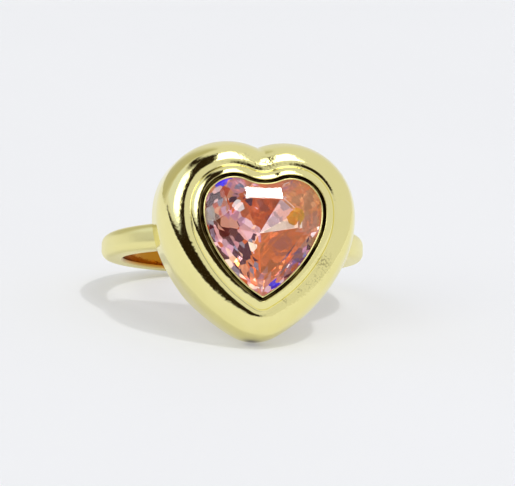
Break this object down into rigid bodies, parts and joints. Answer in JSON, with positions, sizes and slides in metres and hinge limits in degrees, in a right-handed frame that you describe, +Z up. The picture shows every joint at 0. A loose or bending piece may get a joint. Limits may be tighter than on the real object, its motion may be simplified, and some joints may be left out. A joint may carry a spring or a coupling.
{
  "type": "gemstone ring",
  "caption": "Gold-coloured finger ring with a puffy domed heart head, raised heart collar and a heart-cut peach-pink faceted stone.",
  "frame": {"origin": "bottom centre of the ring's box as it lies on a flat surface", "axes": "+Z up, -Y the way the heart faces, +X to the right of the heart seen from the front"},
  "size_m": [0.0208, 0.0234, 0.0149],
  "materials": {
    "gold_plate": "polished pale gold plate on cast brass",
    "peach_stone": "clear peach-pink faceted stone, polished"
  },
  "bodies": {
    "root": {"ring_setting": "gold_plate", "heart_stone": "peach_stone"}
  },
  "joints": []
}
